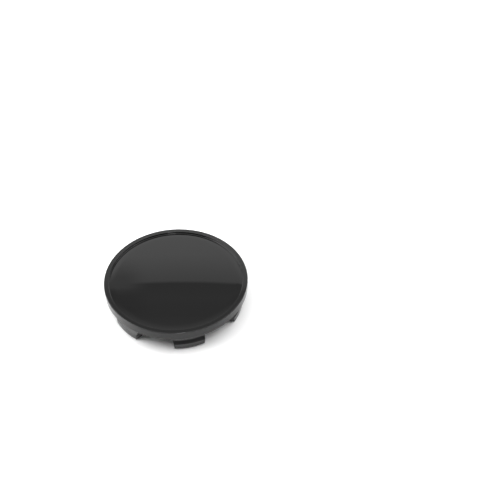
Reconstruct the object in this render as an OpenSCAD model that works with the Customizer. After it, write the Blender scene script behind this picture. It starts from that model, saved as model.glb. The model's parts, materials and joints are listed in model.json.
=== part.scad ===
// Snap-in centre cap for a road wheel, moulded in one piece from black plastic.
// A flanged disc with a raised rim and a shallow domed face covers the wheel's hub hole.
// Behind it six sprung clips reach through the hole, each with an outward hook and a lead-in.
// The origin is under the middle of the face, on the plane of the clip tips, with +Z out of the wheel.

/* [Flange] */
// Outside diameter of the flange
cap_d = 60; // [59:0.5:80]
// Height of the flange, from its seat on the wheel to the top of the rim
flange_h = 3.8; // [3.4:0.1:6]
// Width of the raised rim around the face
rim_w = 2; // [1.4:0.1:4]
// Radius of the rounding on the rim's outer edge
rim_round = 0.3; // [0.2:0.1:0.8]
// Radius of the rounding on the rim's inner edge
rim_break = 0.15; // [0.1:0.05:0.4]
// Radius of the rounding at the foot of the outer wall
foot_round = 0.2; // [0.1:0.05:0.4]
// Width of the lip that seats on the wheel
seat_w = 1.8; // [1.2:0.1:2.4]

/* [Face] */
// Depth of the face's edge below the top of the rim
face_depth = 0.9; // [0.5:0.1:1.2]
// Rise of the crown of the face from its edge to its middle
crown_h = 0.65; // [0.3:0.05:1]
// Width of the rolled band at the face's edge
roll_w = 3; // [1.5:0.1:4]
// Drop of the rolled band below the crown's own curve
roll_drop = 0.14; // [0.04:0.02:0.2]
// Thickness of the plate behind the face
plate_t = 2; // [1.5:0.1:2.2]

/* [Wheel hole] */
// Diameter of the hole in the wheel that the cap snaps into
hole_d = 54.6; // [50:0.2:56]
// Gap all round between the hole and the necks of the clips
hole_gap = 0.3; // [0.1:0.05:0.5]
// Thickness of the wheel's lip that the clips close behind
lip_t = 4.4; // [3:0.2:7]

/* [Clips] */
// Number of clips around the cap
clip_count = 6; // [4:1:7]
// Width of a clip at the seat
clip_w = 14; // [8:0.5:16]
// Narrowing of a clip from the seat to its tip
clip_taper = 1.6; // [0.4:0.2:2.4]
// Thickness of a clip at its root
clip_t = 2.3; // [1.6:0.1:3]
// Draft that thins the clip's inner side towards the tip
clip_draft = 0.4; // [0.1:0.1:0.8]
// Length of a clip below the seat
clip_l = 8.8; // [8.2:0.2:14]
// Overhang of a hook past the neck
hook_reach = 1.1; // [0.6:0.1:1.6]
// Angle of the hook's ledge below level
ledge_angle = 45; // [30:1:55]
// Overhang that the lead-in takes off the hook at the tip
lead_in = 0.8; // [0.4:0.1:1.2]
// Height of the lead-in
lead_in_h = 1; // [0.6:0.1:1.4]
// Radius of the two lower corners of a clip
corner_r = 1.2; // [0.6:0.1:2]
// Radius of the small roundings on the hook's edges
hook_round = 0.2; // [0.1:0.05:0.3]

/* [Stiffening] */
// Height of the ring that ties the clips' roots together, below the seat
ring_h = 1.6; // [0.8:0.1:2.6]
// Thickness of a rib
rib_t = 1.2; // [0.8:0.1:2]
// Distance between the middles of the two ribs behind a clip
rib_gap = 6.8; // [3:0.2:7.6]
// Reach of a rib inwards from the clip
rib_reach = 4.2; // [2:0.2:6]
// Height of a rib below the seat
rib_h = 4.6; // [3:0.2:6]
// Width of a rib's blunt lower end
rib_end = 0.6; // [0.4:0.1:1]

/* [Hidden] */
$fn = 120;

cap_r = cap_d / 2;
face_r = cap_r - rim_w;
seat_r = cap_r - seat_w;
neck_r = hole_d / 2 - hole_gap;
hook_r = neck_r + hook_reach;
root_r = neck_r - clip_t;

// heights above the clip tips
seat_z = clip_l;
rim_z = seat_z + flange_h;
edge_z = rim_z - face_depth;
ledge_z = seat_z - lip_t;
hook_z = ledge_z - hook_reach * tan(ledge_angle);
ring_z = seat_z - ring_h;
rib_z = seat_z - rib_h;

// the crown is a part of a large sphere through the face's edge
crown_r = (face_r * face_r + crown_h * crown_h) / (2 * crown_h);
crown_z = edge_z + roll_drop + crown_h;
roll_r = face_r - roll_w;

crown_steps = 12;
roll_steps = 6;
round_steps = 4;

// height of the crown's sphere at radius r
function crown_height(r) = crown_z - crown_r + sqrt(crown_r * crown_r - r * r);

// height of the face at radius r, with its rolled band
function face_height(r) =
    crown_height(r) - roll_drop * pow(max(0, r - roll_r) / roll_w, 2);

// the plate's underside follows the crown and ends level, and what hangs from it starts in mid plate
plate_z = face_height(roll_r) - plate_t;
root_z = plate_z + plate_t / 2;

function unit(v) = v / norm(v);

// corner at p between the points before and after it, rounded with radius r
function rounded(before, p, after, r) =
    r == 0 ? [p] :
    let (
        u = unit(before - p),
        v = unit(after - p),
        half = acos(u * v) / 2,
        centre = p + unit(u + v) * r / sin(half),
        start = p + u * r / tan(half) - centre,
        turn = sign(cross(start, p - centre)) * (180 - 2 * half)
    )
    [for (i = [0:round_steps])
        let (a = turn * i / round_steps)
        centre + [start.x * cos(a) - start.y * sin(a), start.x * sin(a) + start.y * cos(a)]];

// closed outline through corners given as [x, y, rounding radius]
function outline(corners) =
    let (n = len(corners), at = function (i) [corners[i].x, corners[i].y])
    [for (i = [0:n - 1])
        each rounded(at((i + n - 1) % n), at(i), at((i + 1) % n), corners[i].z)];

// section of the flange and its plate: face, rim, outer wall, seat and hollow underside
module disc_section() {
    crown = [for (i = [0:crown_steps]) let (r = roll_r * i / crown_steps) [r, face_height(r), 0]];
    roll = [for (i = [1:roll_steps]) let (r = roll_r + roll_w * i / roll_steps) [r, face_height(r), 0]];
    rim = [
        [face_r, rim_z, rim_break],
        [cap_r, rim_z, rim_round],
        [cap_r, seat_z, foot_round],
        [seat_r, seat_z, 0],
        [seat_r, plate_z, 0],
    ];
    underside = [for (i = [crown_steps:-1:0])
        let (r = roll_r * i / crown_steps) [r, face_height(r) - plate_t, 0]];
    polygon(outline(concat(crown, roll, rim, underside)));
}

// section of a clip: neck, hook ledge, hook face, lead-in and drafted inner side
module clip_section() {
    polygon(outline([
        [root_r, root_z, 0],
        [neck_r, root_z, 0],
        [neck_r, ledge_z, hook_round],
        [hook_r, hook_z, hook_round],
        [hook_r, lead_in_h, hook_round],
        [hook_r - lead_in, 0, hook_round],
        [root_r + clip_draft, 0, hook_round],
    ]));
}

// front outline of a clip: it narrows to the tip, and its lower corners are rounded
module clip_front() {
    top = root_z + 1;
    half_top = clip_w / 2 + clip_taper / 2 * (top - seat_z) / seat_z;
    half_tip = clip_w / 2 - clip_taper / 2;
    polygon(outline([
        [-half_top, top, 0],
        [-half_tip, 0, corner_r],
        [half_tip, 0, corner_r],
        [half_top, top, 0],
    ]));
}

// places its children at each clip, turned to face outwards, one of them towards -Y
module at_clips() {
    for (i = [0:clip_count - 1])
        rotate([0, 0, i * 360 / clip_count - 90])
            children();
}

module disc() {
    rotate_extrude() disc_section();
}

// ring that ties the clips' roots together behind the seat
module root_ring() {
    translate([0, 0, ring_z])
        difference() {
            cylinder(r = neck_r, h = root_z - ring_z);
            translate([0, 0, -1]) cylinder(r = root_r, h = root_z - ring_z + 2);
        }
}

// the clips are cut from one turned ring by straight-sided slots
module clips() {
    intersection() {
        rotate_extrude() clip_section();
        at_clips()
            rotate([90, 0, 90])
                linear_extrude(height = cap_r) clip_front();
    }
}

// two triangular ribs behind each clip, from the plate down its inner side
module ribs() {
    inner = root_r + clip_draft * rib_h / seat_z;
    joined = inner + clip_t / 3;
    at_clips()
        for (side = [-1, 1])
            translate([0, side * rib_gap / 2 + rib_t / 2, 0])
                rotate([90, 0, 0])
                    linear_extrude(height = rib_t)
                        polygon([
                            [joined, rib_z],
                            [inner - rib_end, rib_z],
                            [root_r - rib_reach, plate_z],
                            [root_r - rib_reach, root_z],
                            [joined, root_z],
                        ]);
}

module centre_cap() {
    color([0.1, 0.1, 0.11])
        union() {
            disc();
            root_ring();
            clips();
            ribs();
        }
}

centre_cap();
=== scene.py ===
# %% [markdown]
# # A snap-in centre cap for a road wheel
#
# This lesson dresses one small moulded part: the black cap that closes the hub
# hole in the middle of a car wheel. The real cap is a flanged disc with a raised
# rim and a shallow domed face. Behind it six sprung clips reach through the hole,
# each with a hook that catches behind the wheel's lip. The whole cap is moulded
# in one piece from black plastic, so it is one piece here as well.
#
# The construction model gives the sizes, and this script only adds looks: finely
# rounded edges, the marks that the mould leaves, and five finishes of one plastic.

# %% Start with an empty scene and load the fixed frame
import bpy
import bmesh
import json
import math
from mathutils import Matrix, Vector

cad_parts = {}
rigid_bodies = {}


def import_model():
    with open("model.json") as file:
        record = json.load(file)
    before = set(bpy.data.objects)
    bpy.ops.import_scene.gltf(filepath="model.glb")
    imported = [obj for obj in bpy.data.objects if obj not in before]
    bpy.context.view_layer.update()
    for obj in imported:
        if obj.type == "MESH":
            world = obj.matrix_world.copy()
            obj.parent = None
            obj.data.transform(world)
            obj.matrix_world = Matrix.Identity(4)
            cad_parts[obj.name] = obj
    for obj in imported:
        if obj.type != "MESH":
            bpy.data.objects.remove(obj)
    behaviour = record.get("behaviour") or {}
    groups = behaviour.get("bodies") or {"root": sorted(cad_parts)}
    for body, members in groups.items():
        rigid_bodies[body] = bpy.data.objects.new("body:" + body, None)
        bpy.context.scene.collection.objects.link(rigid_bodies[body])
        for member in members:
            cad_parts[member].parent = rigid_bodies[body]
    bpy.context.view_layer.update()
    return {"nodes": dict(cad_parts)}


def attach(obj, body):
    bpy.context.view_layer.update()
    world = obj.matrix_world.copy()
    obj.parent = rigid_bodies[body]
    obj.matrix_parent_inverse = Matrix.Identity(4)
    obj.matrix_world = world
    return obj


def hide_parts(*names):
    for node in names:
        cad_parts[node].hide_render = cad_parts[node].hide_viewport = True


for left_over in list(bpy.data.objects):
    bpy.data.objects.remove(left_over)

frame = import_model()
scene = bpy.context.scene
print("nodes in the frame:", list(frame["nodes"]))

# %% [markdown]
# ## The sizes
#
# The cap is small, so its sizes read best in millimetres. Blender works in
# metres here, and MM turns one into the other. The names and values are the ones
# of the construction model, with the clip tips at height zero and +Z out of the
# wheel. The length of a clip is here as well, because it lifts the whole flange.

# %% Sizes of the flange and the face
MM = 0.001

cap_r = 30.0
flange_h = 3.8
rim_w = 2.0
rim_round = 0.3
rim_break = 0.15
foot_round = 0.2
seat_w = 1.8

face_depth = 0.9
crown_h = 0.65
roll_w = 3.0
roll_drop = 0.14
plate_t = 2.0
clip_l = 8.8

face_r = cap_r - rim_w
seat_r = cap_r - seat_w
roll_r = face_r - roll_w
seat_z = clip_l
rim_z = seat_z + flange_h
edge_z = rim_z - face_depth
print("cap", 2 * cap_r, "mm across and", round(rim_z, 1), "mm high, on a seat", seat_z, "mm up")

# %% [markdown]
# ## The camera
#
# A product picture of something this small is taken from arm's length with a
# longish lens, looking down at about 45 degrees. The place and the lens below
# were worked out from the ellipses that the round rims make. A camera in Blender
# looks along its own -Z, so its matrix is built from three directions: right,
# up, and backwards. The picture was tilted by about one degree, which turns the
# first two a little.

# %% Camera at the photograph's viewing angle
picture_px = 500
sensor_mm = 36
lens_px = 868.65
heading = math.radians(75.4)
look_down = math.radians(44.803)
tilt = 0.016274
camera_place = Vector((-0.03305, -0.24869, 0.27721))

ahead = Vector((
    math.cos(heading) * math.cos(look_down),
    math.sin(heading) * math.cos(look_down),
    -math.sin(look_down),
))
level_right = Vector((math.sin(heading), -math.cos(heading), 0))
level_up = level_right.cross(ahead)
right = level_right * math.cos(tilt) + level_up * math.sin(tilt)
up = level_up * math.cos(tilt) - level_right * math.sin(tilt)

camera = bpy.data.objects.new("camera", bpy.data.cameras.new("camera"))
scene.collection.objects.link(camera)
pose = Matrix((right, up, -ahead)).transposed().to_4x4()
pose.translation = camera_place
camera.matrix_world = pose
camera.data.sensor_width = sensor_mm
camera.data.lens = lens_px / picture_px * sensor_mm
camera.data.clip_start = 0.01
scene.camera = camera
scene.view_settings.view_transform = "Standard"
print("lens", round(camera.data.lens, 1), "mm")

# %% [markdown]
# ## Floor and light
#
# Black gloss has hardly any colour of its own, so what the eye sees is the room
# in it. A white table, a white screen at the back and a few softboxes are
# enough. Both the room and the finishes are painted with shader nodes, so the
# first things to have are helpers that add a node, do a sum and join two colours.


# %% Helpers that add and join shader nodes
def add_node(tree, kind, **settings):
    node = tree.nodes.new(kind)
    for key, value in settings.items():
        setattr(node, key, value)
    return node


def plug(tree, value, socket):
    """Joins an output to a socket, or sets the socket where value is a plain number or colour."""
    if isinstance(value, (int, float, tuple)):
        socket.default_value = value
    else:
        tree.links.new(value, socket)


def maths(tree, operation, *values):
    node = add_node(tree, "ShaderNodeMath", operation=operation)
    for value, socket in zip(values, node.inputs):
        plug(tree, value, socket)
    return node.outputs[0]


def smooth_range(tree, value, low, high):
    """0 below low and 1 above high, with a smooth step between them."""
    node = add_node(tree, "ShaderNodeMapRange", interpolation_type="SMOOTHSTEP")
    plug(tree, value, node.inputs["Value"])
    plug(tree, low, node.inputs["From Min"])
    plug(tree, high, node.inputs["From Max"])
    return node.outputs["Result"]


def mixed(tree, mask, first, second):
    """The first colour where the mask is 0 and the second where it is 1."""
    node = add_node(tree, "ShaderNodeMix", data_type="RGBA")
    plug(tree, mask, node.inputs["Factor"])
    plug(tree, first, node.inputs[6])
    plug(tree, second, node.inputs[7])
    return node.outputs[2]


# %% [markdown]
# ## The white table
#
# A small product stands on a sheet of white card, lit so brightly that it turns
# pure white away from the product's own shadow. Card is matt, so the table has no
# shine at all, and a single large plane is all that it takes.

# %% The white table
table_size = 6
white_card = (0.9, 0.9, 0.9, 1)

bpy.ops.mesh.primitive_plane_add(size=table_size)
floor = bpy.context.object
floor.name = "table_top"
white = bpy.data.materials.new("white_table")
white.use_nodes = True
paint = white.node_tree.nodes["Principled BSDF"]
paint.inputs["Base Color"].default_value = white_card
paint.inputs["Roughness"].default_value = 1.0
paint.inputs["Specular IOR Level"].default_value = 0.0
floor.data.materials.append(white)
print("table:", table_size, "metres wide")

# %% [markdown]
# ## The room
#
# The screen and the room are far away compared with the cap, so they are painted
# on the world. Its Generated coordinate is simply the direction looked in, and it
# is turned here so that one axis points away from the camera's side. Two angles
# say where something is: how steeply up, and how far to the side.

# %% Directions in the room
world = bpy.data.worlds.new("studio")
scene.world = world
world.use_nodes = True
room_tree = world.node_tree
room_tree.nodes.clear()

room_turn = math.radians(90) - heading
look = add_node(room_tree, "ShaderNodeTexCoord")
turned = add_node(room_tree, "ShaderNodeVectorRotate", rotation_type="Z_AXIS")
turned.inputs["Angle"].default_value = room_turn
room_tree.links.new(look.outputs["Generated"], turned.inputs["Vector"])
parts = add_node(room_tree, "ShaderNodeSeparateXYZ")
room_tree.links.new(turned.outputs["Vector"], parts.inputs[0])
side, away, height = parts.outputs


def degrees_of(a, b):
    return maths(room_tree, "MULTIPLY", maths(room_tree, "ARCTAN2", a, b), 180 / math.pi)


slope = degrees_of(height, away)
across = degrees_of(side, away)
print("the room is turned by", round(math.degrees(room_turn), 1), "degrees")

# %% [markdown]
# ## The white screen
#
# The screen behind the cap ends in a straight upper edge: its mirror image is the
# line that runs across the face, bright beyond it and dim on the near side. An
# edge that is level and straight sits at one slope, the angle of height over
# distance away, so the paint is a colour ramp over that slope. The screen's left
# corner fades out sooner, which needs a second ramp.


# %% Painting the screen
def grey_ramp(tree, value, stops):
    """A colour ramp over value, with stops of (value, grey) from the lowest to the highest."""
    lowest, highest = stops[0][0], stops[-1][0]
    node = add_node(tree, "ShaderNodeValToRGB")
    ramp = node.color_ramp
    while len(ramp.elements) < len(stops):
        ramp.elements.new(0.5)
    for element, (at, grey) in zip(ramp.elements, stops):
        element.position = (at - lowest) / (highest - lowest)
        element.color = (grey, grey, grey, 1)
    place = add_node(tree, "ShaderNodeMapRange")
    place.inputs["From Min"].default_value = lowest
    place.inputs["From Max"].default_value = highest
    tree.links.new(value, place.inputs["Value"])
    tree.links.new(place.outputs["Result"], node.inputs["Fac"])
    return node.outputs["Color"]


screen_stops = [
    (38, 1.0), (42.5, 0.96), (44, 0.87), (45.5, 0.77), (47.15, 0.67), (47.6, 0.26), (49, 0.28),
    (50, 0.3), (51.5, 0.28), (53, 0.28), (55, 0.36), (58, 0.46), (62, 0.58),
]
corner_stops = [
    (38, 1.0), (42.5, 0.96), (44, 0.76), (45.5, 0.57), (46, 0.51), (47.95, 0.48), (48.5, 0.34),
    (49.4, 0.25), (52, 0.23), (55, 0.36), (58, 0.46), (62, 0.58),
]
screen = grey_ramp(room_tree, slope, screen_stops)
corner = grey_ramp(room_tree, slope, corner_stops)
corner_mask = smooth_range(room_tree, across, low=-11.5, high=-16.5)
behind = mixed(room_tree, corner_mask, screen, corner)
print("the screen's ramp has", len(screen_stops), "stops and the corner's", len(corner_stops))

# %% [markdown]
# ## Ceiling and near side
#
# Above the screen the ceiling is pale. The near side is dark above the horizon, as
# a room is behind the lamps, and that keeps the ledges of the front clips black.
# Mixing the parts one over the other is easier to change than one big ramp.

# %% Ceiling, near side and strength
ceiling_grey = (0.6, 0.6, 0.6, 1)
near_grey = (0.14, 0.14, 0.14, 1)
room_strength = 1.35

above_screen = smooth_range(room_tree, slope, low=62, high=75)
nearer = smooth_range(room_tree, away, low=0.2, high=-0.4)
above_horizon = smooth_range(room_tree, height, low=0.02, high=0.15)
near_side = maths(room_tree, "MULTIPLY", nearer, above_horizon)
room = mixed(room_tree, above_screen, behind, ceiling_grey)
room = mixed(room_tree, near_side, room, near_grey)

backdrop = add_node(room_tree, "ShaderNodeBackground")
backdrop.inputs["Strength"].default_value = room_strength
room_tree.links.new(room, backdrop.inputs["Color"])
out = add_node(room_tree, "ShaderNodeOutputWorld")
room_tree.links.new(backdrop.outputs[0], out.inputs["Surface"])
print("the room has", len(room_tree.nodes), "nodes")

# %% [markdown]
# ## Softboxes
#
# A softbox is a lamp behind white cloth, and the larger it is, the softer the
# shadow. Here it is an area lamp: radiance is how bright the cloth looks, and the
# power follows from its size. The left one is the main light and the right one
# fills in. The one overhead keeps the table in front of the cap light. A narrow
# strip makes the small glint on the front edge of the rim.
#
# The last one is only a white card, low on the left, that shows in the sloped
# ledges of the clips. A real card hardly lights the table, so it is switched off
# for matt surfaces.


# %% Softboxes
def softbox(name, azimuth, elevation, distance, size, radiance):
    """An area lamp that faces the cap; the azimuth is in degrees from the picture's right."""
    data = bpy.data.lights.new(name, "AREA")
    data.shape = "RECTANGLE"
    data.size, data.size_y = size
    data.energy = radiance * math.pi * size[0] * size[1]
    lamp = bpy.data.objects.new(name, data)
    scene.collection.objects.link(lamp)
    a = math.radians(azimuth) + heading - math.radians(90)
    e = math.radians(elevation)
    towards = Vector((math.cos(a) * math.cos(e), math.sin(a) * math.cos(e), math.sin(e)))
    lamp.location = towards * distance
    lamp.rotation_euler = lamp.location.to_track_quat("Z", "Y").to_euler()
    print(name, "softbox:", round(data.energy, 1), "W")
    return lamp


softbox("left", azimuth=174, elevation=50, distance=1.2, size=(1.0, 0.8), radiance=5.5)
softbox("right", azimuth=5, elevation=52, distance=1.2, size=(1.0, 0.7), radiance=2.6)
softbox("overhead", azimuth=270, elevation=84, distance=1.3, size=(1.1, 1.1), radiance=2.1)
softbox("strip", azimuth=279, elevation=62, distance=1.2, size=(0.16, 0.35), radiance=14.0)
card = softbox("card", azimuth=182, elevation=22, distance=1.2, size=(1.5, 0.42), radiance=3.4)
card.visible_diffuse = False

# %% [markdown]
# ## The cap's outline
#
# Most of the cap is a turned form: one outline, spun around the axis. Real edges
# are never quite sharp, and the small roundings are what catch the light, so the
# outline rounds each corner with the radius that the mould has. A little
# trigonometry finds the arc: its centre lies on the line that halves the corner.


# %% Rounding the corners of an outline
def rounded(before, corner, after, radius, steps=6):
    """Points of a rounded corner between the corners before and after it."""
    if radius == 0:
        return [corner]
    p = Vector(corner)
    u = (Vector(before) - p).normalized()
    v = (Vector(after) - p).normalized()
    half = math.acos(max(-1, min(1, u.dot(v)))) / 2
    centre = p + (u + v).normalized() * radius / math.sin(half)
    start = p + u * radius / math.tan(half) - centre
    turn = math.pi - 2 * half
    if start.x * (p - centre).y - start.y * (p - centre).x < 0:
        turn = -turn
    points = []
    for i in range(steps + 1):
        a = turn * i / steps
        points.append((
            centre.x + start.x * math.cos(a) - start.y * math.sin(a),
            centre.y + start.x * math.sin(a) + start.y * math.cos(a),
        ))
    return points


def outline(corners):
    """A closed section through corners given as (radius, height, rounding)."""
    points = []
    for i, (x, y, radius) in enumerate(corners):
        before = corners[i - 1][:2]
        after = corners[(i + 1) % len(corners)][:2]
        points += rounded(before, (x, y), after, radius)
    return points


print("a rounded square has", len(outline([(0, 0, 1), (9, 0, 1), (9, 9, 1), (0, 9, 1)])), "points")

# %% [markdown]
# ## The shape of the face
#
# The face is a part of a very large sphere, so that water and light run off it
# evenly. Near its edge it rolls down a little more, which is what bends the line
# of light there. The plate behind it has the same curve and one thickness, as a
# moulding should, so that it cools evenly.

# %% Height of the face
crown_r = (face_r ** 2 + crown_h ** 2) / (2 * crown_h)
crown_z = edge_z + roll_drop + crown_h


def crown_height(r):
    return crown_z - crown_r + math.sqrt(crown_r ** 2 - r ** 2)


def face_height(r):
    return crown_height(r) - roll_drop * max(0.0, (r - roll_r) / roll_w) ** 2


plate_z = face_height(roll_r) - plate_t
root_z = plate_z + plate_t / 2
print("the face is a part of a", round(crown_r), "mm sphere")
print("the hollow starts at", round(plate_z, 2), "mm")

# %% [markdown]
# ## Spinning
#
# Blender can spin an outline with its Screw modifier, but a few lines of mesh
# code give the same form and leave no doubled points on the axis: each point of
# the outline becomes a ring, and neighbouring rings are joined by four-sided
# faces. A point on the axis stays one point.


# %% Turning an outline
def new_piece(name, vertices, faces):
    """A mesh object from points in millimetres, with all its faces turned outwards."""
    mesh = bpy.data.meshes.new(name)
    mesh.from_pydata([(x * MM, y * MM, z * MM) for x, y, z in vertices], [], faces)
    mesh.validate()
    piece = bpy.data.objects.new(name, mesh)
    scene.collection.objects.link(piece)
    work = bmesh.new()
    work.from_mesh(mesh)
    bmesh.ops.recalc_face_normals(work, faces=work.faces)
    work.to_mesh(mesh)
    work.free()
    return piece


def circle(r, z, around):
    turns = [2 * math.pi * k / around for k in range(around)]
    return [(r * math.cos(a), r * math.sin(a), z) for a in turns]


def spun(name, points, around=240):
    """Turns a closed section of (radius, height) points around the axis."""
    vertices, rings = [], []
    for r, z in points:
        if r < 1e-6:
            rings.append([len(vertices)] * around)
            vertices.append((0, 0, z))
            continue
        rings.append(list(range(len(vertices), len(vertices) + around)))
        vertices += circle(r, z, around)
    faces = []
    for i, ring in enumerate(rings):
        after = rings[(i + 1) % len(rings)]
        for k in range(around):
            n = (k + 1) % around
            face = []
            for corner in (ring[k], ring[n], after[n], after[k]):
                if corner not in face:
                    face.append(corner)
            if len(face) > 2:
                faces.append(face)
    return new_piece(name, vertices, faces)


# %% [markdown]
# ## The flanged disc
#
# The disc's outline runs over the face from the middle, up the wall of the recess,
# over the rim, down the outer wall, across the seat and back under the plate. The
# crown has the most steps, because gloss shows every flat in a curve.

# %% The flanged disc
recess_round = 0.25
seat_round = 0.15
hollow_round = 0.25
crown_steps = 26
roll_steps = 8
plate_steps = 12


def face_point(r, below=0.0):
    return (r, face_height(r) - below, 0)


crown = [face_point(roll_r * i / crown_steps) for i in range(crown_steps + 1)]
roll = [face_point(roll_r + roll_w * i / roll_steps) for i in range(1, roll_steps)]
rim = [
    (face_r, face_height(face_r), recess_round),
    (face_r, rim_z, rim_break),
    (cap_r, rim_z, rim_round),
    (cap_r, seat_z, foot_round),
    (seat_r, seat_z, seat_round),
    (seat_r, plate_z, hollow_round),
]
underside = [face_point(roll_r * i / plate_steps, plate_t) for i in range(plate_steps, -1, -1)]
disc = spun("centre_cap_moulding", outline(crown + roll + rim + underside))
print("disc:", len(disc.data.polygons), "faces")

# %% [markdown]
# ## The sprung clips
#
# A clip is a bent wall that hangs below the seat. It is a piece of a ring, cut
# straight at its two sides, and its outer face runs neck, ledge, hook, lead-in.
# The neck fits the hole in the wheel, the ledge slopes so that the cap can be
# pulled out again, and the lead-in lets it be pushed home.

# %% Sizes of the clips
neck_r = 27.0
clip_count = 6
clip_w = 14.0
clip_taper = 1.6
clip_t = 2.3
clip_draft = 0.4
lip_t = 4.4
hook_reach = 1.1
lead_in = 0.8
lead_in_h = 1.0
corner_r = 1.2
hook_round = 0.2
ring_h = 1.6

hook_r = neck_r + hook_reach
root_r = neck_r - clip_t
ledge_z = seat_z - lip_t
hook_z = ledge_z - hook_reach
ring_z = seat_z - ring_h
print("hooks", 2 * hook_r, "mm across; ledges", round(seat_z - ledge_z, 1), "mm below the seat")

# %% [markdown]
# ## A clip's section
#
# The helper that rounded the disc's outline rounds the clip's as well. The section
# is then parted at its lowest points into an outer and an inner side, because the
# clip needs both radii at each height.

# %% Section of a clip
clip_section = outline([
    (neck_r, root_z, 0),
    (neck_r, ledge_z, hook_round),
    (hook_r, hook_z, hook_round),
    (hook_r, lead_in_h, hook_round),
    (hook_r - lead_in, 0.0, hook_round),
    (root_r + clip_draft, 0.0, hook_round),
    (root_r, root_z, 0),
])
lowest = [i for i, point in enumerate(clip_section) if point[1] < 1e-6]
outer_side = clip_section[:lowest[0] + 1]
inner_side = clip_section[lowest[-1]:][::-1]
print("a clip's section has", len(clip_section), "points")

# %% [markdown]
# ## Straight sides on a round wall
#
# Spinning gives the ring but not the straight sides, so the clip is lofted: the
# same section is set at many places across the clip's width, and each height has
# its own half width. That one rule makes the taper, the two rounded lower
# corners and, with the section drawn in a little at both ends, the soft edges.


# %% Radius and width at a height
def radius_at(side_points, z):
    """Radius of one side of the section at a height; the side runs from its top down."""
    for (r0, z0), (r1, z1) in zip(side_points, side_points[1:]):
        if z1 - 1e-9 <= z <= z0 + 1e-9 and z0 - z1 > 1e-9:
            return r0 + (r1 - r0) * (z0 - z) / (z0 - z1)
    return side_points[-1][0]


def half_width(z):
    half = clip_w / 2 - clip_taper / 2 * (seat_z - z) / seat_z
    if z < corner_r:
        half -= corner_r - math.sqrt(corner_r ** 2 - (corner_r - z) ** 2)
    return half


corner_angles = range(0, 91, 10)
neck_steps = (1.2, 2.4)
hook_middle = 2.2
heights = {round(z, 5) for r, z in outer_side + inner_side}
heights |= {round(corner_r * (1 - math.cos(math.radians(a))), 5) for a in corner_angles}
heights |= {ledge_z + step for step in neck_steps} | {ring_z, seat_z, hook_middle}
heights = sorted(heights, reverse=True)
print("a clip has", len(heights), "heights")
print("near its tip it is", round(2 * half_width(0.5), 1), "mm wide")

# %% [markdown]
# ## Lofting
#
# A loft joins sections that are set side by side. At both ends four more sections
# draw the form in along a quarter circle, and that rounds the clip's long edges.
# Each clip is made facing -Y and then turned into its place.

# %% Lofting the clips
clip_edge = 0.15
edge_angles = (0, 22.5, 45, 67.5)
stations_across = 24

stations = [(-1.0, math.radians(a)) for a in edge_angles]
stations += [(-1 + 2 * i / stations_across, None) for i in range(stations_across + 1)]
stations += [(1.0, math.radians(a)) for a in reversed(edge_angles)]


def section_at(across, edge):
    """The section at one place across the clip, drawn in where it is at a rounded edge."""
    inset = 0.0 if edge is None else clip_edge * (1 - math.sin(edge))
    back = clip_edge if edge is None else clip_edge * (1 - math.cos(edge))
    ring = [(radius_at(outer_side, z) - inset, z) for z in heights]
    ring += [(radius_at(inner_side, z) + inset, z) for z in reversed(heights)]
    points = []
    for r, z in ring:
        x = across * (half_width(z) - back)
        points.append((x, -math.sqrt(r * r - x * x), z))
    return points


def turned_by(points, angle):
    c, s = math.cos(angle), math.sin(angle)
    return [(x * c - y * s, x * s + y * c, z) for x, y, z in points]


def lofted_clip(name, angle):
    vertices, faces = [], []
    for across, edge in stations:
        vertices += turned_by(section_at(across, edge), angle)
    n = 2 * len(heights)
    for s in range(len(stations) - 1):
        for i in range(n):
            j = (i + 1) % n
            faces.append((s * n + i, s * n + j, (s + 1) * n + j, (s + 1) * n + i))
    for start in (0, (len(stations) - 1) * n):
        for i in range(len(heights) - 1):
            faces.append((start + i, start + i + 1, start + n - 2 - i, start + n - 1 - i))
    return new_piece(name, vertices, faces)


clip_angles = [2 * math.pi * i / clip_count for i in range(clip_count)]
clips = [lofted_clip("clip_%d" % (i + 1), a) for i, a in enumerate(clip_angles)]
print(len(clips), "clips of", len(clips[0].data.polygons), "faces")

# %% [markdown]
# ## The ring behind the clips
#
# A low ring ties the roots of the clips together and centres the cap in the hole.
# It is another spun outline. Its walls lie a skin of 0.03 mm inside those of the
# clips, because two walls at exactly the same place give a union no clear answer.

# %% Root ring
skin = 0.03
ring_round = 0.15
root_ring = spun("root_ring", outline([
    (neck_r - skin, root_z, 0),
    (neck_r - skin, ring_z, ring_round),
    (root_r + skin, ring_z, ring_round),
    (root_r + skin, root_z, 0),
]))
print("root ring:", len(root_ring.data.polygons), "faces")

# %% [markdown]
# ## The ribs
#
# Two small triangular ribs stiffen each clip from behind. They are the moulder's
# way of making a thin wall springy but not weak. A rib is a flat plate, so its
# outline is drawn once, given a thickness, and its edges are bevelled.

# %% Outline of a rib
rib_t = 1.2
rib_gap = 6.8
rib_reach = 4.2
rib_h = 4.6
rib_end = 0.6
rib_edge = 0.15

rib_z = seat_z - rib_h
rib_inner = root_r + clip_draft * rib_h / seat_z
rib_shape = [
    (rib_inner + clip_t / 3, rib_z),
    (rib_inner - rib_end, rib_z),
    (root_r - rib_reach, plate_z),
    (root_r - rib_reach, root_z),
    (rib_inner + clip_t / 3, root_z),
]
print("a rib runs from", round(plate_z, 2), "mm down to", round(rib_z, 2), "mm")

# %% [markdown]
# ## Two ribs behind each clip
#
# The bevel of bmesh rounds all the edges of a rib in one step, which is simpler
# than rounding its outline first and its thickness after.


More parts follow.
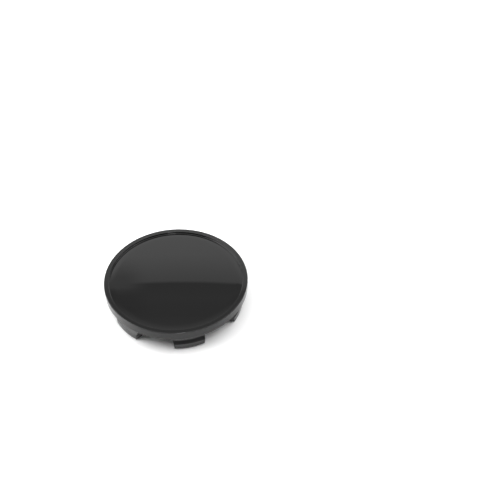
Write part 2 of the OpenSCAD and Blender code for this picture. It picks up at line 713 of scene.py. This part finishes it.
# %% Ribs
def rib(name, angle, side_of_clip):
    middle = side_of_clip * rib_gap / 2
    plate = [(x, -r, z) for x in (middle - rib_t / 2, middle + rib_t / 2) for r, z in rib_shape]
    n = len(rib_shape)
    faces = [tuple(range(n)), tuple(range(2 * n - 1, n - 1, -1))]
    faces += [(i, (i + 1) % n, n + (i + 1) % n, n + i) for i in range(n)]
    piece = new_piece(name, turned_by(plate, angle), faces)
    work = bmesh.new()
    work.from_mesh(piece.data)
    bmesh.ops.bevel(
        work, geom=work.edges[:], offset=rib_edge * MM, segments=3, profile=0.5, affect="EDGES")
    work.to_mesh(piece.data)
    work.free()
    return piece


ribs = []
for i, angle in enumerate(clip_angles):
    ribs.append(rib("rib_%d_1" % (i + 1), angle, -1))
    ribs.append(rib("rib_%d_2" % (i + 1), angle, 1))
print(len(ribs), "ribs")

# %% [markdown]
# ## What the mould leaves behind
#
# Plastic is let into the mould at one point and the cooled part is pushed off by
# steel pins. Both leave marks, always on the hidden side: a small stub in the
# middle of the back, and shallow round dents around it. They are real forms here,
# so that they catch the light when the cap is turned over. The stub comes first,
# and it starts inside the plate, so that the union has something to hold.


# %% Gate stub
def plate_back(r):
    return face_height(r) - plate_t


small_around = 48
stub_r = 1.0
stub_root_r = 1.2
stub_h = 0.35
stub_root_h = 0.5
stub_round = 0.15
stub_top = plate_back(0) + stub_root_h
stub_end = plate_back(0) - stub_h

stub_outline = outline([
    (stub_root_r, stub_top, 0),
    (stub_r, stub_end, stub_round),
    (0.0, stub_end, 0),
])
gate_stub = spun("gate_stub", [(0.0, stub_top)] + stub_outline, around=small_around)
print("gate stub:", 2 * stub_root_r, "mm across and", stub_h, "mm high")

# %% [markdown]
# ## Pin marks
#
# A pin that stands a little proud in the mould leaves a shallow round dent. Each
# dent is cut by a short peg that reaches just into the plate, halfway between two
# clips, where there is room for the pin.

# %% Pegs for the pin marks
pin_r = 1.5
pin_circle_r = 15
pin_depth = 0.12
pin_below = 0.8
pin_top = plate_back(pin_circle_r) + pin_depth
pin_end = plate_back(pin_circle_r) - pin_below

pins = []
for i in range(clip_count):
    angle = 2 * math.pi * (i + 0.5) / clip_count
    section = [(0.0, pin_top), (pin_r, pin_top), (pin_r, pin_end), (0.0, pin_end)]
    pin = spun("pin_%d" % (i + 1), section, around=small_around)
    for vertex in pin.data.vertices:
        vertex.co.x += pin_circle_r * math.sin(angle) * MM
        vertex.co.y -= pin_circle_r * math.cos(angle) * MM
    pins.append(pin)
print(len(pins), "pin marks,", pin_depth, "mm deep")

# %% [markdown]
# ## One moulded piece
#
# The solids overlap where they meet, and a union keeps only their common skin.
# That leaves the same single closed surface that the mould makes. The Boolean
# modifier can take a whole collection at once, which is quicker and cleaner than
# one modifier for each solid.


# %% Joining the solids
def group_of(name, pieces):
    group = bpy.data.collections.new(name)
    for piece in pieces:
        group.objects.link(piece)
    return group


def combine(piece, group, operation):
    step = piece.modifiers.new(operation.lower(), "BOOLEAN")
    step.operand_type = "COLLECTION"
    step.collection = group
    step.operation = operation
    step.solver = "EXACT"


def apply_modifiers(piece):
    evaluated = piece.evaluated_get(bpy.context.evaluated_depsgraph_get())
    made = bpy.data.meshes.new_from_object(evaluated)
    piece.modifiers.clear()
    old = piece.data
    piece.data = made
    bpy.data.meshes.remove(old)


added = [root_ring, gate_stub] + clips + ribs
combine(disc, group_of("added", added), "UNION")
combine(disc, group_of("cut_away", pins), "DIFFERENCE")
apply_modifiers(disc)
for piece in added + pins:
    bpy.data.meshes.remove(piece.data)
cap = disc
cap.data.name = "centre_cap_moulding"
print("joined:", len(cap.data.polygons), "faces")

# %% [markdown]
# ## Cleaning the seams of the union
#
# Where two rounded forms cross, a union can leave edges so short, and faces so
# thin, that no mould could make them. They shade badly and spoil a mesh for
# printing or simulation, so points closer together than two thousandths of a
# millimetre are merged. Then the mesh is measured, to see that it is still closed.

# %% Cleaning the seams
merge_distance = 0.002


def count_short_edges(work):
    return sum(1 for edge in work.edges if edge.calc_length() < merge_distance * MM)


seams = bmesh.new()
seams.from_mesh(cap.data)
short_before = count_short_edges(seams)
bmesh.ops.remove_doubles(seams, verts=seams.verts[:], dist=merge_distance * MM)
bmesh.ops.dissolve_degenerate(seams, edges=seams.edges[:], dist=merge_distance * MM)
seams.to_mesh(cap.data)
print("edges that are too short, before and after:", short_before, count_short_edges(seams))
open_edges = sum(1 for edge in seams.edges if not edge.is_manifold)
volume = round(seams.calc_volume() / MM ** 3, 1)
print("one piece:", len(cap.data.polygons), "faces,", open_edges, "open edges,", volume, "cubic mm")
seams.free()

# %% [markdown]
# ## Smooth shading that keeps the flats flat
#
# Smooth shading blends the direction of neighbouring faces. On a flat band next
# to a tiny rounding it would bend the flat as well, and gloss shows that at once.
# So true corners are marked sharp, and the Weighted Normal modifier lets the
# large faces decide the direction at the points that they share.

# %% Shading
sharp_angle = 32
cap.data.polygons.foreach_set("use_smooth", [True] * len(cap.data.polygons))
cap.data.set_sharp_from_angle(angle=math.radians(sharp_angle))
weighted = cap.modifiers.new("weighted", "WEIGHTED_NORMAL")
weighted.keep_sharp = True
weighted.weight = 100
apply_modifiers(cap)
print("corners of more than", sharp_angle, "degrees are sharp")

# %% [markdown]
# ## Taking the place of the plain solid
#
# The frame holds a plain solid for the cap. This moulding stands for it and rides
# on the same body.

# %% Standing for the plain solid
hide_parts("centre_cap")
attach(cap, "root")
print(cap.name, "stands for centre_cap")

# %% [markdown]
# ## Where an edge is
#
# A finish often changes along an edge, because edges are what rubs, and here the
# lighter edges are partly a painted highlight as well. The outline says where they
# are, so each point of the mesh stores one number: 1 in the middle of a rounding,
# falling to 0 where it meets the flats. Materials read it by name.

# %% Edges as corners of the outline, each with its reach
rim_edges = [
    (face_r, rim_z, rim_break),
    (cap_r, rim_z, rim_round),
    (cap_r, seat_z, foot_round),
    (seat_r, seat_z, seat_round),
]
hook_edges = [
    (hook_r, hook_z, 0.09),
    (hook_r, lead_in_h, 0.08),
    (hook_r - lead_in, 0.0, 0.1),
    (root_r + clip_draft, 0.0, 0.2),
]
turned_edges = rim_edges + hook_edges
clip_share = math.radians(360 / clip_count)
side_edges_top = ledge_z + 1
mark_name = "edge"
print(len(turned_edges), "turned edges")

# %% [markdown]
# ## Marking the points
#
# A point on a turned edge is found by its radius and height alone. The straight
# side edges of a clip need the distance from the clip's side and from its skin.
# One rule serves all the clips, because the angle is taken within one share of the
# full circle.


# %% Marking the edges
def closeness(distance, reach):
    """1 in the middle of a rounding and 0 where it ends, reach away from the true corner."""
    return max(0.0, min(1.0, (reach - distance) / (0.5 * reach)))


def clip_side_mark(r, x, y, z):
    """The mark of a clip's straight side edges, whichever clip the point is on."""
    off = (math.atan2(x, -y) + clip_share / 2) % clip_share - clip_share / 2
    from_side = half_width(max(z, 0.0)) - abs(r * math.sin(off))
    from_skin = min(abs(radius_at(outer_side, z) - r), abs(r - radius_at(inner_side, z)))
    return closeness(math.hypot(from_side, from_skin), clip_edge)


def edge_mark(x, y, z):
    r = math.hypot(x, y)
    marks = [closeness(math.hypot(r - er, z - ez), reach) for er, ez, reach in turned_edges]
    if z < side_edges_top and r > root_r:
        marks.append(clip_side_mark(r, x, y, z))
    return max(marks)


edge_marks = cap.data.attributes.new(mark_name, "FLOAT", "POINT")
edge_marks.data.foreach_set("value", [edge_mark(*(v.co / MM)) for v in cap.data.vertices])
print("points on an edge:", sum(1 for v in edge_marks.data if v.value > 0.5))

# %% [markdown]
# ## Surface effects as node groups
#
# All of the cap is the same plastic. What differs is how the mould was finished
# and how the part was handled, and the edges carry a painted highlight as well, so
# those effects are groups that every material can use with its own values: the
# grain that the steel leaves, the uneven gloss of a handled surface, settled dust,
# and rubbed edges that are partly a painted highlight. A group has named inputs
# and outputs and gives out only masks, values and heights.


# %% Helpers for groups
def new_group(name, inputs, outputs):
    tree = bpy.data.node_groups.new(name, "ShaderNodeTree")
    for label, default in inputs:
        socket = tree.interface.new_socket(
            name=label, in_out="INPUT", socket_type="NodeSocketFloat")
        socket.default_value = default
    for label in outputs:
        tree.interface.new_socket(name=label, in_out="OUTPUT", socket_type="NodeSocketFloat")
    return tree, tree.nodes.new("NodeGroupInput"), tree.nodes.new("NodeGroupOutput")


def place_group(tree, group, **values):
    """Puts a group into a material; pit_depth=0.1 sets the input named Pit depth."""
    node = tree.nodes.new("ShaderNodeGroup")
    node.node_tree = group
    for label, value in values.items():
        node.inputs[label.replace("_", " ").capitalize()].default_value = value
    return node


def noise(tree, scale, detail, roughness=0.5):
    """Noise over the object's own coordinates; scale is how many times it repeats in a metre."""
    where = tree.nodes.new("ShaderNodeTexCoord")
    node = tree.nodes.new("ShaderNodeTexNoise")
    tree.links.new(where.outputs["Object"], node.inputs["Vector"])
    plug(tree, scale, node.inputs["Scale"])
    node.inputs["Detail"].default_value = detail
    node.inputs["Roughness"].default_value = roughness
    return node.outputs["Fac"]


# %% [markdown]
# ## Grain
#
# A mould is cut and polished steel, and the plastic copies what is left of the
# tool marks. Seen closely that is two things: fine pits, and a long faint wave
# that bends reflections a little. Two noises of different scale, added up, give a
# height that a Bump node can use.

# %% Moulded grain: fine pits over a faint long wave
wave_per_metre = 260
grain, given, gives = new_group(
    "moulded_grain",
    inputs=[("Pits per metre", 6000), ("Pit depth", 0.5), ("Wave depth", 0.5)],
    outputs=["Height"])
pits = noise(grain, scale=given.outputs["Pits per metre"], detail=3, roughness=0.6)
waves = noise(grain, scale=wave_per_metre, detail=1)
pit_part = maths(grain, "MULTIPLY", pits, given.outputs["Pit depth"])
wave_part = maths(grain, "MULTIPLY", waves, given.outputs["Wave depth"])
grain.links.new(maths(grain, "ADD", pit_part, wave_part), gives.inputs["Height"])
wave_mm = round(1 / MM / wave_per_metre, 1)
print("grain:", len(grain.nodes), "nodes; a wave is about", wave_mm, "mm long")

# %% [markdown]
# ## Handling
#
# Gloss is never even on a part that was picked up and wiped. Patches a few
# millimetres wide are a little duller, with fine streaks in them. The group moves
# the roughness between a clean and a handled value, which each material chooses.

# %% Handled gloss: wiped patches with fine streaks
streak_share = 0.35
gloss, given, gives = new_group(
    "handled_gloss",
    inputs=[("Clean", 0.03), ("Handled", 0.08)],
    outputs=["Roughness"])
patch_noise = noise(gloss, scale=90, detail=3, roughness=0.55)
streak_noise = noise(gloss, scale=900, detail=2, roughness=0.7)
patches = smooth_range(gloss, patch_noise, low=0.42, high=0.68)
streaks = smooth_range(gloss, streak_noise, low=0.45, high=0.75)
patch_part = maths(gloss, "MULTIPLY", patches, 1 - streak_share)
handled_mask = maths(gloss, "MULTIPLY_ADD", streaks, streak_share, patch_part)
span = maths(gloss, "SUBTRACT", given.outputs["Handled"], given.outputs["Clean"])
roughness = maths(gloss, "MULTIPLY_ADD", handled_mask, span, given.outputs["Clean"])
gloss.links.new(roughness, gives.inputs["Roughness"])
print("handled gloss:", len(gloss.nodes), "nodes")

# %% [markdown]
# ## Dust
#
# Black gloss shows every speck. Dust is small and round and lies on what faces
# up, so it is the middle of a few Voronoi cells, kept only where the surface's
# normal points upwards. The cell's own random colour decides which cells have one.

# %% Settled dust: a few specks on what faces up
cells_per_metre = 420
share_of_cells = 0.2
dust, given, gives = new_group("settled_dust", inputs=[("Amount", 0.5)], outputs=["Mask"])
where = dust.nodes.new("ShaderNodeTexCoord")
cells = add_node(dust, "ShaderNodeTexVoronoi", feature="F1")
cells.inputs["Scale"].default_value = cells_per_metre
dust.links.new(where.outputs["Object"], cells.inputs["Vector"])
speck = smooth_range(dust, cells.outputs["Distance"], low=0.045, high=0.02)
chosen = dust.nodes.new("ShaderNodeSeparateColor")
dust.links.new(cells.outputs["Color"], chosen.inputs["Color"])
rare = maths(dust, "GREATER_THAN", chosen.outputs["Red"], 1 - share_of_cells)
facing = dust.nodes.new("ShaderNodeNewGeometry")
facing_parts = dust.nodes.new("ShaderNodeSeparateXYZ")
dust.links.new(facing.outputs["Normal"], facing_parts.inputs[0])
upward = smooth_range(dust, facing_parts.outputs["Z"], low=0.6, high=0.95)
found = maths(dust, "MULTIPLY", maths(dust, "MULTIPLY", speck, rare), upward)
dust.links.new(maths(dust, "MULTIPLY", found, given.outputs["Amount"]), gives.inputs["Mask"])
print("dust:", len(dust.nodes), "nodes")

# %% [markdown]
# ## Rubbed edges and painted highlight
#
# Edges are what touches the box and the bench on the way to the wheel, so they
# lose a little of their black and their gloss. The same lighter grey also stands in
# for the light that the small roundings catch, so it is partly a painted highlight.
# The mark stored in the mesh says where an edge is, and noise breaks it up, because
# wear is never even.

# %% Rubbed edges and painted highlight: the stored edge mark, broken up by noise
# This mask lightens the edges: partly wear, partly a painted highlight.
edge_rub_and_highlight, given, gives = new_group("rubbed_edges_and_highlight", inputs=[("Amount", 0.5)], outputs=["Mask"])
mark = add_node(edge_rub_and_highlight, "ShaderNodeAttribute", attribute_name=mark_name)
edge_rub_highlight_noise = noise(edge_rub_and_highlight, scale=700, detail=4, roughness=0.65)
broken = smooth_range(edge_rub_and_highlight, edge_rub_highlight_noise, low=0.35, high=0.7)
edge_rub_highlight_mask = maths(edge_rub_and_highlight, "MULTIPLY", mark.outputs["Fac"], broken)
edge_rub_and_highlight.links.new(maths(edge_rub_and_highlight, "MULTIPLY", edge_rub_highlight_mask, given.outputs["Amount"]), gives.inputs["Mask"])
print("groups:", [group.name for group in bpy.data.node_groups])

# %% [markdown]
# ## Building a finish
#
# One function builds all the finishes: black pigment, the groups above with their
# own values, and a Bump node whose distance is the real depth of the grain in
# metres. Worn edges and dust turn the black slightly grey and dull, and on the
# edges that grey is partly a painted highlight. The shine is how strongly the
# plastic mirrors, and 0.5 is plain plastic.

# %% Building a finish
plastic_ior = 1.45
# Grey for dust and rubbed edges; on the edges it is partly a painted highlight.
rub_highlight_and_dust_grey = (0.09, 0.09, 0.09, 1)
rubbed_dullness = 0.35


def finish(
        name, black, shine, clean, handled,
        pits_per_metre, pit_depth, wave_depth, depth, rub_and_highlight, dusty):
    material = bpy.data.materials.new(name)
    material.use_nodes = True
    tree = material.node_tree
    shader = tree.nodes["Principled BSDF"]
    shader.inputs["IOR"].default_value = plastic_ior
    shader.inputs["Specular IOR Level"].default_value = shine

    grain_node = place_group(
        tree, grain, pits_per_metre=pits_per_metre, pit_depth=pit_depth, wave_depth=wave_depth)
    bump = tree.nodes.new("ShaderNodeBump")
    bump.inputs["Distance"].default_value = depth
    tree.links.new(grain_node.outputs["Height"], bump.inputs["Height"])
    tree.links.new(bump.outputs["Normal"], shader.inputs["Normal"])

    rub_highlight_node = place_group(tree, edge_rub_and_highlight, amount=rub_and_highlight)
    dust_node = place_group(tree, dust, amount=dusty)
    marks = maths(tree, "MAXIMUM", rub_highlight_node.outputs["Mask"], dust_node.outputs["Mask"])
    gloss_node = place_group(tree, gloss, clean=clean, handled=handled)
    duller = maths(tree, "MULTIPLY_ADD", marks, rubbed_dullness, gloss_node.outputs["Roughness"])
    tree.links.new(duller, shader.inputs["Roughness"])

    # Edges and dust turn grey; on the edges this grey is partly a painted highlight.
    colour = mixed(tree, marks, (black, black, black, 1), rub_highlight_and_dust_grey)
    tree.links.new(colour, shader.inputs["Base Color"])
    print(name, "roughness", clean, "to", handled)
    return material


# %% [markdown]
# ## Five finishes of one plastic
#
# The mould is polished like a mirror where the face forms. The rim is polished
# less, and the outer wall the same but a little less shiny, because it slides
# along the steel as the part is pushed out. The clips are satin, and the back is
# left as the cutter leaves the steel, since it never shows. So the roughness and
# the depth of the grain grow from the first finish to the last.

# %% The five finishes
finishes = [
    finish(
        "polished_face", black=0.0055, shine=0.5, clean=0.012, handled=0.03,
        pits_per_metre=2500, pit_depth=0.1, wave_depth=0.9, depth=0.4e-6, rub_and_highlight=0.04, dusty=0.3),
    finish(
        "gloss_rim", black=0.0075, shine=0.5, clean=0.04, handled=0.08,
        pits_per_metre=4000, pit_depth=0.3, wave_depth=0.7, depth=0.8e-6, rub_and_highlight=0.06, dusty=0.2),
    finish(
        "plain_wall", black=0.0075, shine=0.34, clean=0.04, handled=0.08,
        pits_per_metre=4000, pit_depth=0.3, wave_depth=0.7, depth=0.8e-6, rub_and_highlight=0.06, dusty=0.2),
    finish(
        "satin_clips", black=0.018, shine=0.62, clean=0.12, handled=0.2,
        pits_per_metre=5000, pit_depth=0.7, wave_depth=0.3, depth=1.5e-6, rub_and_highlight=0.1, dusty=0.1),
    finish(
        "machined_back", black=0.012, shine=0.5, clean=0.3, handled=0.42,
        pits_per_metre=3500, pit_depth=0.9, wave_depth=0.1, depth=6.0e-6, rub_and_highlight=0.15, dusty=0.0),
]
FACE, RIM, WALL, CLIPS, BACK = range(len(finishes))

# %% [markdown]
# ## Which finish goes where
#
# Each face of the mesh carries the number of its material. Its middle says which
# zone of the cap it belongs to: the domed face, the rim with both its roundings
# and the wall of the recess, the outer wall, a clip, or the hollow behind.

# %% Giving each face its finish
face_margin = 0.02
seat_margin = 0.05
level_margin = 0.01
rim_inner_w = 0.3
behind_clips = 0.2


def zone(polygon):
    x, y, z = polygon.center / MM
    r = math.hypot(x, y)
    if r < face_r - face_margin and z > face_height(r) - plate_t / 2:
        return FACE
    if face_r - face_margin < r < face_r + rim_inner_w and z > plate_z:
        return RIM
    if r > seat_r + seat_margin and z > rim_z - rim_round:
        return RIM
    if r > seat_r + seat_margin and z > seat_z - level_margin:
        return WALL
    if root_r - behind_clips < r < seat_r - seat_margin and z < plate_z - level_margin:
        return CLIPS
    return BACK


cap.data.materials.clear()
for material in finishes:
    cap.data.materials.append(material)
zones = [zone(polygon) for polygon in cap.data.polygons]
cap.data.polygons.foreach_set("material_index", zones)
cap.data.update()
print("faces of each finish:", [zones.count(i) for i in range(len(finishes))])
